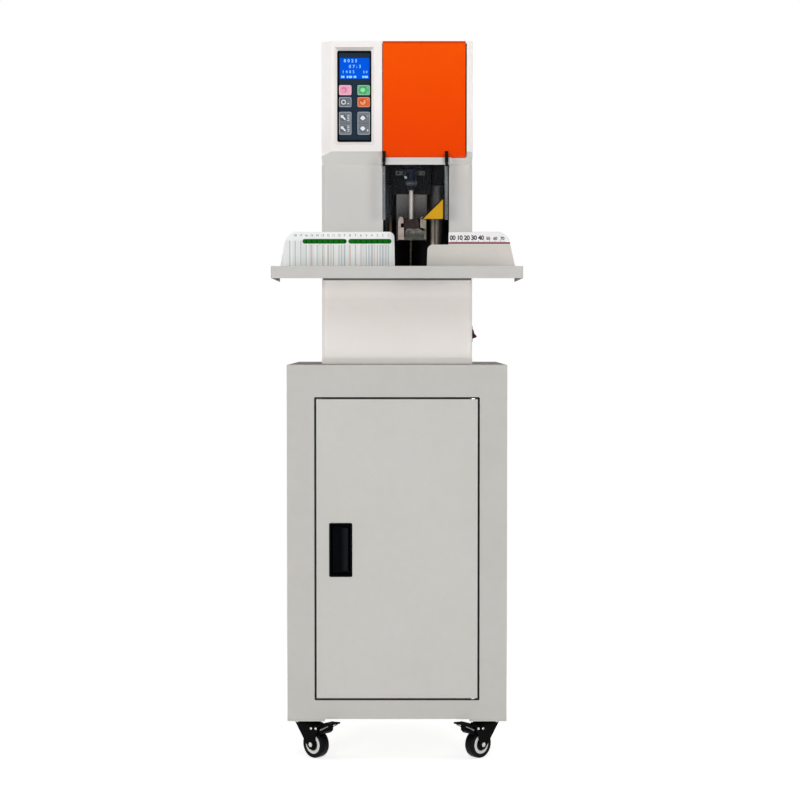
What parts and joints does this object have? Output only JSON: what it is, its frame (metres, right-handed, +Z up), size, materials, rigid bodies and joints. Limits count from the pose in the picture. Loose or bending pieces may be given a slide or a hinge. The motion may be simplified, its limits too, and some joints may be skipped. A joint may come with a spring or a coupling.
{
  "type": "document riveting machine",
  "caption": "Floor-standing document riveting machine: drilling head with console and clear guard over a paper table, on a column and a cabinet with casters.",
  "frame": {"origin": "on the floor, under the centre of the bounding box", "axes": "+Z up, -Y front, +X to the right seen from the front"},
  "size_m": [0.4412, 0.43, 1.286],
  "materials": {
    "casing_white": "satin powder coat, off-white",
    "column_grey": "satin powder coat, light grey",
    "cabinet_grey": "fine-textured powder coat, warm light grey",
    "orange": "gloss orange",
    "black_plastic": "matt black",
    "black_metal": "satin black",
    "zinc_steel": "zinc plated",
    "chrome": "ground and plated",
    "tool_steel": "ground steel",
    "cast_black": "blackened casting",
    "brass": "machined",
    "tyre": "matt black",
    "clear": "clear pane",
    "panel": "dark blue-grey film",
    "display": "blue lit display",
    "board": "green circuit board",
    "key_grey": "grey",
    "key_pink": "pink",
    "key_green": "green",
    "key_orange": "orange",
    "red_plastic": "red",
    "nylon": "natural white"
  },
  "bodies": {
    "stand": {"cabinet_shell": "cabinet_grey", "cabinet_floor": "cabinet_grey", "cabinet_back": "cabinet_grey", "door_hinge_pins": "cabinet_grey", "door_catch": "black_metal", "caster_plates": "black_metal", "machine_base": "column_grey", "column_casing": "column_grey", "rear_cover": "column_grey", "head_casing": "casing_white", "front_door_pins": "zinc_steel", "console_panel": "panel", "display_module": "display", "control_board": "board", "switch_bezel": "black_plastic", "power_inlet": "black_plastic", "paper_table": "column_grey", "left_fence": "column_grey", "right_fence": "column_grey", "machine_frame": "black_metal", "guide_columns": "chrome", "top_plate": "tool_steel", "lift_motor": "black_metal", "rivet_actuator": "black_metal", "drill_pad": "nylon", "rivet_die": "brass"},
    "door": {"cabinet_door": "cabinet_grey", "door_handle": "black_plastic"},
    "tool_door": {"front_door": "orange", "guard_brackets": "black_metal"},
    "guard": {"guard_panel": "clear"},
    "slide_carriage": {"carriage": "cast_black", "drill_motor": "black_metal"},
    "screw": {"lead_screw": "tool_steel"},
    "drill": {"spindle": "tool_steel", "drill_bit": "tool_steel"},
    "foot": {"press_foot": "tool_steel", "foot_slide_plate": "tool_steel"},
    "ram": {"rivet_ram": "tool_steel"},
    "switch": {"switch_rocker": "red_plastic"},
    "caster_fl": {"caster_fork_fl": "black_metal", "caster_axle_fl": "zinc_steel"},
    "wheel_fl": {"caster_wheel_fl": "tyre"},
    "pedal_fl": {"brake_pedal_fl": "black_metal"},
    "caster_fr": {"caster_fork_fr": "black_metal", "caster_axle_fr": "zinc_steel"},
    "wheel_fr": {"caster_wheel_fr": "tyre"},
    "pedal_fr": {"brake_pedal_fr": "black_metal"},
    "caster_rl": {"caster_fork_rl": "black_metal", "caster_axle_rl": "zinc_steel"},
    "wheel_rl": {"caster_wheel_rl": "tyre"},
    "caster_rr": {"caster_fork_rr": "black_metal", "caster_axle_rr": "zinc_steel"},
    "wheel_rr": {"caster_wheel_rr": "tyre"},
    "key_stop_cap": {"key_stop": "key_pink"},
    "key_start_cap": {"key_start": "key_green"},
    "key_menu_cap": {"key_menu": "key_grey"},
    "key_confirm_cap": {"key_confirm": "key_orange"},
    "rocker_key_left_cap": {"rocker_key_left": "key_grey"},
    "rocker_key_right_cap": {"rocker_key_right": "key_grey"}
  },
  "joints": [
    {"name": "cabinet_door_hinge", "type": "hinge", "parent": "stand", "child": "door", "pos_m": [0.135, -0.1795, 0.37735], "axis": [0, 0, 1], "range_deg": [0, 110]},
    {"name": "front_door_hinge", "type": "hinge", "parent": "stand", "child": "tool_door", "pos_m": [0.1179, -0.0935, 1.18215], "axis": [0, 0, 1], "range_deg": [0, 90]},
    {"name": "guard_hinge", "type": "hinge", "parent": "tool_door", "child": "guard", "pos_m": [0.03285, -0.104, 1.072], "axis": [-1, 0, 0], "range_deg": [0, 90]},
    {"name": "swivel_fl", "type": "hinge", "parent": "stand", "child": "caster_fl", "pos_m": [-0.1585, -0.1485, 0.0669], "axis": [0, 0, 1], "continuous": true},
    {"name": "wheel_spin_fl", "type": "hinge", "parent": "caster_fl", "child": "wheel_fl", "pos_m": [-0.14517, -0.16059, 0.025], "axis": [0.6717, 0.7408, 0], "continuous": true},
    {"name": "brake_pedal_hinge_fl", "type": "hinge", "parent": "caster_fl", "child": "pedal_fl", "pos_m": [-0.1422, -0.16328, 0.055], "axis": [0.6717, 0.7408, 0], "range_deg": [0, 9]},
    {"name": "swivel_fr", "type": "hinge", "parent": "stand", "child": "caster_fr", "pos_m": [0.1585, -0.1485, 0.0669], "axis": [0, 0, 1], "continuous": true},
    {"name": "wheel_spin_fr", "type": "hinge", "parent": "caster_fr", "child": "wheel_fr", "pos_m": [0.14517, -0.16059, 0.025], "axis": [0.6717, -0.7408, 0], "continuous": true},
    {"name": "brake_pedal_hinge_fr", "type": "hinge", "parent": "caster_fr", "child": "pedal_fr", "pos_m": [0.1422, -0.16328, 0.055], "axis": [0.6717, -0.7408, 0], "range_deg": [0, 9]},
    {"name": "swivel_rl", "type": "hinge", "parent": "stand", "child": "caster_rl", "pos_m": [-0.1585, 0.1785, 0.0669], "axis": [0, 0, 1], "continuous": true},
    {"name": "wheel_spin_rl", "type": "hinge", "parent": "caster_rl", "child": "wheel_rl", "pos_m": [-0.14432, 0.18958, 0.025], "axis": [-0.6157, 0.788, 0], "continuous": true},
    {"name": "swivel_rr", "type": "hinge", "parent": "stand", "child": "caster_rr", "pos_m": [0.1585, 0.1785, 0.0669], "axis": [0, 0, 1], "continuous": true},
    {"name": "wheel_spin_rr", "type": "hinge", "parent": "caster_rr", "child": "wheel_rr", "pos_m": [0.14432, 0.18958, 0.025], "axis": [-0.6157, -0.788, 0], "continuous": true},
    {"name": "carriage_slide", "type": "slide", "parent": "stand", "child": "slide_carriage", "axis": [0, 0, 1], "range_m": [-0.0514, 0]},
    {"name": "lead_screw_spin", "type": "hinge", "parent": "stand", "child": "screw", "pos_m": [0.0255, 0.03, 1.228], "axis": [0, 0, 1], "range_deg": [-1160, 0]},
    {"name": "drill_spin", "type": "hinge", "parent": "slide_carriage", "child": "drill", "pos_m": [0.0255, -0.078, 1.022], "axis": [0, 0, 1], "continuous": true},
    {"name": "foot_slide", "type": "slide", "parent": "slide_carriage", "child": "foot", "axis": [0, 0, 1], "range_m": [0, 0.05], "stiffness_N_per_m": 300, "springref_m": -0.02},
    {"name": "ram_slide", "type": "slide", "parent": "stand", "child": "ram", "axis": [0, 0, 1], "range_m": [-0.18, 0]},
    {"name": "key_stop_press", "type": "slide", "parent": "stand", "child": "key_stop_cap", "axis": [0, 1, 0], "range_m": [0, 0.0008], "stiffness_N_per_m": 400},
    {"name": "key_start_press", "type": "slide", "parent": "stand", "child": "key_start_cap", "axis": [0, 1, 0], "range_m": [0, 0.0008], "stiffness_N_per_m": 400},
    {"name": "key_menu_press", "type": "slide", "parent": "stand", "child": "key_menu_cap", "axis": [0, 1, 0], "range_m": [0, 0.0008], "stiffness_N_per_m": 400},
    {"name": "key_confirm_press", "type": "slide", "parent": "stand", "child": "key_confirm_cap", "axis": [0, 1, 0], "range_m": [0, 0.0008], "stiffness_N_per_m": 400},
    {"name": "rocker_key_left_tilt", "type": "hinge", "parent": "stand", "child": "rocker_key_left_cap", "pos_m": [-0.0936, -0.0915, 1.139], "axis": [1, 0, 0], "range_deg": [-3, 3], "stiffness_Nm_per_rad": 0.05},
    {"name": "rocker_key_right_tilt", "type": "hinge", "parent": "stand", "child": "rocker_key_right_cap", "pos_m": [-0.0603, -0.0915, 1.139], "axis": [1, 0, 0], "range_deg": [-3, 3], "stiffness_Nm_per_rad": 0.05},
    {"name": "power_switch_tilt", "type": "hinge", "parent": "stand", "child": "switch", "pos_m": [0.136, -0.01, 0.7588], "axis": [0, 1, 0], "range_deg": [0, 20]}
  ],
  "couplings": [
    {"joint": "lead_screw_spin", "follows": "carriage_slide", "rad_per_m": 392.7}
  ]
}
